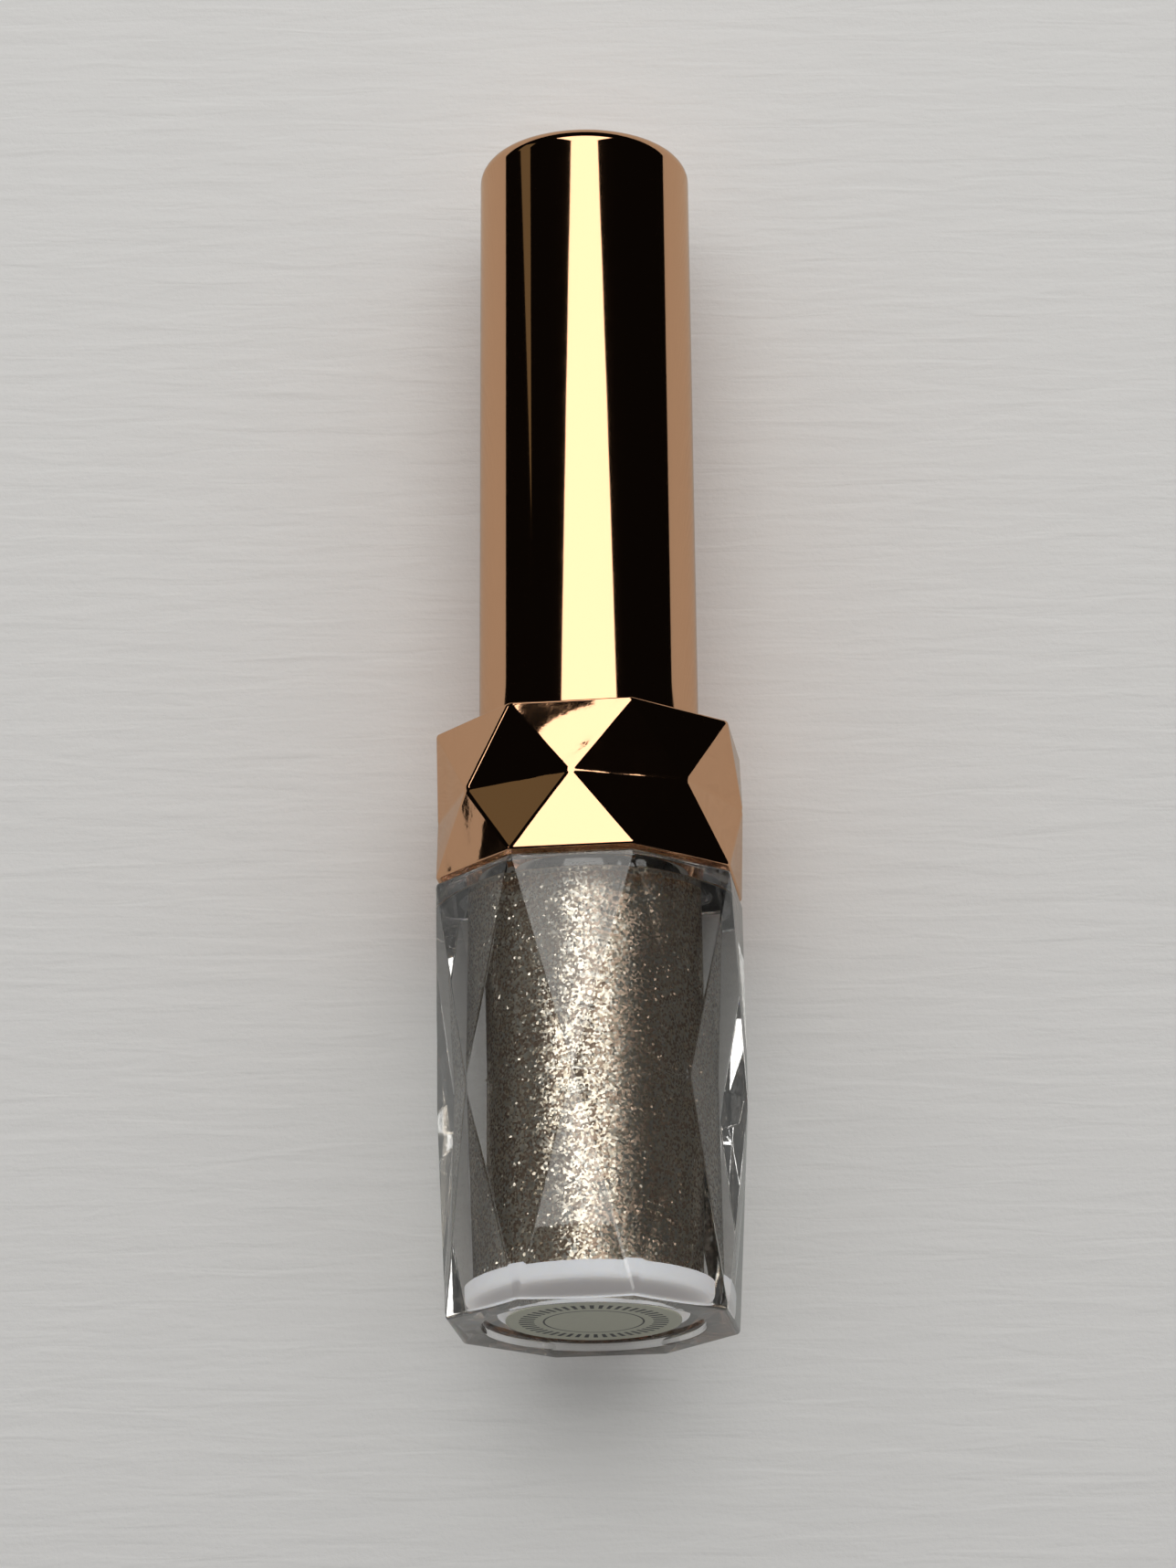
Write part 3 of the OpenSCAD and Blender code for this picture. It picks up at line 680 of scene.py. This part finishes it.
foot = dict(core=1.6, skin=0.4, pile=0.16, low=4.9, rod=15.0, slant=7.5, toeBack=0.45, columns=72, rows=90,
            crowding=1.5, inset=0.3, least=1e-3, far=99, thin=0.02, fibres=5200, seed=7, fibreCrowding=0.66,
            fibreSpan=(0.005, 0.985), rootDepth=0.02, tipDepth=0.01, fibreWidth=0.022,
            fibreSides=(0, 2.094, 4.189))
flockLook = dict(color=(0.34, 0.25, 0.19), other=(0.62, 0.54, 0.47), rough=(0.7, 0.95), grainScale=4000.0,
                 grainDepth=0.05, sheen=0.4)


def footSurface(turn, along, grow):
    # a round rod with a hemispherical end, cut by a slanted plane: each point runs out from the axis until
    # it meets the round form or the plane, whichever is nearer; along runs from 0 at the tip to 1 at the rod
    f = foot
    radius, length = f["core"] + grow, f["rod"] - f["low"] + grow
    drop = length * along ** f["crowding"]
    height = f["low"] - grow + drop
    roundPart = np.where(drop < radius, np.sqrt(np.maximum(radius ** 2 - (radius - drop) ** 2, 0)), radius)
    lean = math.atan((f["core"] + f["toeBack"]) / f["slant"])
    side = np.cos(np.radians(turn - beltTurn))
    # the plane passes through (core, low + slant), pushed outwards by grow; least keeps the division
    # finite, far stands for a side that the plane doesn't cut, and thin is the smallest radius
    rise = height - f["low"] - f["slant"]
    reach = (f["core"] * math.cos(lean) + grow + rise * math.sin(lean)) / math.cos(lean)
    toPlane = np.where(side > f["least"], reach / np.maximum(side, f["least"]), f["far"])
    return np.minimum(roundPart, np.maximum(toPlane, f["thin"])), height


def makeFlock():
    # the skin of the foot, as rows of points from the tip to the rod, closed by a fan at each end
    f = foot
    columns, rows = f["columns"], f["rows"]
    turn = np.arange(columns) * 360 / columns
    along = np.linspace(0, 1, rows)[1:, None]
    radius, height = footSurface(turn[None], along, f["skin"] - f["pile"])
    points = np.concatenate([lay(radius, turn[None], height).reshape(-1, 3),
                             lay(f["core"] - f["inset"], turn, f["rod"]),
                             lay(0, 0, np.array([f["low"] - f["skin"] + f["pile"], f["rod"]]))])
    index = np.arange(rows * columns).reshape(rows, columns)
    tip, end = rows * columns, rows * columns + 1
    blocks = [rowFaces(index), fanFaces(tip, index[0]), fanFaces(end, index[-1])]
    piece = makeMesh("applicatorFlock", points, blocks)
    addPile(piece)
    place(piece, "cap", "flock", plasticMaterial("stained flocking", flockLook), "applicator_flock")


def addPile(piece):
    # fibres stand on the skin as thin three-sided spikes, each from a point of the surface to the same
    # point grown by the pile
    f = foot
    rng = np.random.default_rng(f["seed"])
    turn = rng.random(f["fibres"]) * 360
    along = rng.random(f["fibres"]) ** f["fibreCrowding"] * f["fibreSpan"][1] + f["fibreSpan"][0]
    low = footSurface(turn, along, f["skin"] - f["pile"] - f["rootDepth"])
    high = footSurface(turn, along, f["skin"] - f["tipDepth"])
    base, top = lay(low[0], turn, low[1]), lay(high[0], turn, high[1])
    spread = rng.normal(size=(f["fibres"], 3))
    line = top - base
    sideways = np.cross(line, spread)
    sideways /= np.linalg.norm(sideways, axis=1, keepdims=True)
    across = np.cross(line, sideways)
    across /= np.linalg.norm(across, axis=1, keepdims=True)
    width = f["fibreWidth"] * mm
    ring = [base + width * (math.cos(a) * sideways + math.sin(a) * across) for a in f["fibreSides"]]
    points = np.stack([*ring, top], 1).reshape(-1, 3)
    start = np.arange(f["fibres"])[:, None] * 4
    faces = np.concatenate([start + np.array(t) for t in ([0, 1, 3], [1, 2, 3], [2, 0, 3], [0, 2, 1])])
    pile = makeMesh("pile", points, [faces])
    with bpy.context.temp_override(active_object=piece, selected_editable_objects=[piece, pile]):
        bpy.ops.object.join()


makeCap()
makeCollar()
makeClosure()
makeWeight()
makeGasket()
makeRod()
makeFlock()
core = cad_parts["applicator_core"]
core.data.materials.clear()
core.data.materials.append(plasticMaterial("applicator core plastic", rodPlastic))
print("cap side made")


# shaded is painted shade: the share by which the floor's colour darkens where it is seen by way of a
# reflection
paper = dict(color=(0.84, 0.835, 0.825), dim=0.94, fibreShare=0.35, depth=0.1, size=3.0, shaded=0.9,
             lift=0.02, mirrorShadeColor=(0.56, 0.57, 0.56),
             mirror=[(90, -240), (90, 30), (125, 45), (125, 240)])
light = dict(height=300, color=(1, 0.985, 0.95), strength=2.0, far=(68, 194), wide=(166, 108),
             near=(120, -20), flare=(230, 520),
             brownWall=dict(x=-400, outline=[(195, 224), (262, 89), (460, 89), (460, 224)],
                            color=(0.13, 0.125, 0.085)),
             sideGleam=dict(x=-400, outline=[(0, 110), (80, 110), (80, 175), (0, 175)],
                            color=(1.4, 1.4, 1.35)))
world = dict(camera=(0.62, 0.62, 0.61), ambient=0.50, lean=1.0, through=(0.03, 0.03, 0.03),
             mirrored=(0.003, 0.003, 0.003))


def paperMaterial(name, color, shaded):
    # laid paper: wandering lines across the sheet and a fine fibre grain, with painted shade where it is seen
    # in reflections
    material, shader, add, links = newMaterial(name)
    spot = add("ShaderNodeTexCoord").outputs["Object"]
    stretch = add("ShaderNodeMapping", Vector=spot, Scale=(0.12, 1, 1))
    lines = add("ShaderNodeTexNoise", Vector=stretch.outputs[0], Scale=900.0, Detail=2.0, Distortion=0.4)
    fibre = add("ShaderNodeTexNoise", Vector=spot, Scale=2200.0, Detail=4.0, Roughness=0.7)
    height = mathStep(add, links, "MULTIPLY_ADD", fibre.outputs[0], paper["fibreShare"], lines.outputs[0])
    bump = add("ShaderNodeBump", Height=height, Strength=1.0, Distance=paper["depth"] * mm)
    tone = colorMix(add, links, lines.outputs[0], [c * paper["dim"] for c in color], color)
    # painted shade: wherever the sheet is seen by way of the gloss or a polished face, its colour is darkened
    # towards black by shaded
    depth = add("ShaderNodeLightPath").outputs["Glossy Depth"]
    shade = colorMix(add, links, mathStep(add, links, "MINIMUM", depth, shaded), tone, (0, 0, 0))
    links.new(shade, shader.inputs["Base Color"])
    links.new(bump.outputs[0], shader.inputs["Normal"])
    setSockets(shader, Roughness=0.9, Specular_IOR_Level=0.2)
    return material


def flatSheet(name, corners, material):
    # one flat face through the given corners, for the stage only
    mesh = bpy.data.meshes.new(name)
    mesh.from_pydata([tuple(c) for c in corners], [], [tuple(range(len(corners)))])
    mesh.materials.append(material)
    sheet = bpy.data.objects.new(name, mesh)
    bpy.context.scene.collection.objects.link(sheet)
    return sheet


def makeFloor():
    # the floor fills every view; a smaller sheet of the same paper, painted darker as shade, takes its place
    # in mirror reflections
    far = paper["size"]
    material = paperMaterial("laid paper", paper["color"], paper["shaded"])
    corners = [(-far, -far, 0), (far, -far, 0), (far, far, 0), (-far, far, 0)]
    floor = flatSheet("paperFloor", corners, material)
    floor.visible_glossy = False
    # the paper in mirrors gets a darker colour: painted shade
    mirrored = paperMaterial("laid paper in mirrors", paper["mirrorShadeColor"], 0.0)
    onlyInMirrors(levelSheet("paperInMirrors", paper["mirror"], paper["lift"], mirrored))


def glowMaterial(name, color, strength):
    # plain light of one colour, as strong as strength
    material = bpy.data.materials.new(name)
    material.use_nodes = True
    tree = material.node_tree
    tree.nodes.clear()
    glow = tree.nodes.new("ShaderNodeEmission")
    glow.inputs["Strength"].default_value = strength
    glow.inputs["Color"].default_value = (*color, 1)
    tree.links.new(glow.outputs[0], tree.nodes.new("ShaderNodeOutputMaterial").inputs["Surface"])
    return material


def levelSheet(name, outline, height, material):
    # a level sheet, the same to left and right; outline lists half-widths and places along the tube in mm
    right = [(x * mm, y * mm, height * mm) for x, y in outline]
    left = [(-x * mm, y * mm, height * mm) for x, y in outline[::-1]]
    return flatSheet(name, right + left, material)


def onlyInMirrors(sheet):
    # seen by glossy rays and by nothing else
    for kind in ("camera", "diffuse", "transmission", "shadow"):
        setattr(sheet, "visible_" + kind, False)


def makeLight():
    # one soft panel over the tube, narrow beyond the cap's end and wide over the collar; only mirrors see
    # a sheet that carries it on beyond the cap, a dim brown wall to the left and a small pale gleam
    soft = glowMaterial("soft panel", light["color"], light["strength"])
    panel = levelSheet("softPanel", [light["far"], light["wide"], light["near"]], light["height"], soft)
    panel.visible_camera = False
    onlyInMirrors(levelSheet("panelBeyondCap", [light["flare"], light["far"]], light["height"], soft))
    for name in ("brownWall", "sideGleam"):
        wall = light[name]
        corners = [(wall["x"] * mm, y * mm, z * mm) for y, z in wall["outline"]]
        onlyInMirrors(flatSheet(name, corners, glowMaterial(name, wall["color"], 1.0)))


def makeWorld():
    # pale behind the floor and dark in mirrors; once light has met a matt surface, the fill is
    # ambient * (1 + lean * y), so it comes more from beyond the cap than from the base end
    backdrop = bpy.data.worlds.new("studio")
    backdrop.use_nodes = True
    bpy.context.scene.world = backdrop
    backdrop.cycles.sampling_method = "NONE"
    nodes, links = backdrop.node_tree.nodes, backdrop.node_tree.links
    path = nodes.new("ShaderNodeLightPath")
    fill = nodes["Background"]
    parts, slope, level = (nodes.new("ShaderNode" + kind) for kind in ("SeparateXYZ", "Math", "CombineColor"))
    links.new(nodes.new("ShaderNodeTexCoord").outputs["Generated"], parts.inputs[0])
    slope.operation = "MULTIPLY_ADD"
    links.new(parts.outputs[1], slope.inputs[0])
    slope.inputs[1].default_value = world["ambient"] * world["lean"]
    slope.inputs[2].default_value = world["ambient"]
    for channel in level.inputs:
        links.new(slope.outputs[0], channel)
    links.new(level.outputs[0], fill.inputs["Color"])

    def mixIn(kind, shown, color):
        other, mix = nodes.new("ShaderNodeBackground"), nodes.new("ShaderNodeMixShader")
        other.inputs["Color"].default_value = (*color, 1)
        links.new(path.outputs[kind], mix.inputs[0])
        links.new(shown, mix.inputs[1])
        links.new(other.outputs[0], mix.inputs[2])
        return mix.outputs[0]

    seen = mixIn("Is Glossy Ray", fill.outputs[0], world["mirrored"])
    seen = mixIn("Is Transmission Ray", seen, world["through"])
    seen = mixIn("Is Camera Ray", seen, world["camera"])
    lit = nodes.new("ShaderNodeMixShader")
    isLit = nodes.new("ShaderNodeMath")
    isLit.operation = "GREATER_THAN"
    links.new(path.outputs["Diffuse Depth"], isLit.inputs[0])
    links.new(isLit.outputs[0], lit.inputs[0])
    links.new(seen, lit.inputs[1])
    links.new(fill.outputs[0], lit.inputs[2])
    links.new(lit.outputs[0], nodes["World Output"].inputs["Surface"])


view = dict(place=(-0.00211, -0.12090, 0.35760), look=(0.0055, 0.3183, -0.948), up=(0.0064, 0.948, 0.3183),
            lens=112.5, sensor=36.0, clip=(0.01, 20.0))


def makeCamera():
    # placed over the base end, looking down along the tube; its right is look x up, and up is right x look
    data = bpy.data.cameras.new("camera")
    camera = bpy.data.objects.new("camera", data)
    bpy.context.scene.collection.objects.link(camera)
    data.lens, data.sensor_width = view["lens"], view["sensor"]
    data.clip_start, data.clip_end = view["clip"]
    look, up = np.array(view["look"]), np.array(view["up"])
    look /= np.linalg.norm(look)
    right = np.cross(look, up)
    right /= np.linalg.norm(right)
    up = np.cross(right, look)
    matrix = np.eye(4)
    matrix[:3] = np.stack([right, up, -look, view["place"]], 1)
    camera.matrix_world = Matrix(matrix.tolist())
    bpy.context.scene.camera = camera


makeFloor()
makeLight()
makeWorld()
makeCamera()
scene = bpy.context.scene
scene.view_settings.view_transform, scene.view_settings.look = "Standard", "None"
bounces = dict(glossy_bounces=12, transmission_bounces=16, transparent_max_bounces=16, max_bounces=20)
for kind, count in bounces.items():
    setattr(scene.cycles, kind, count)
print("stage made")
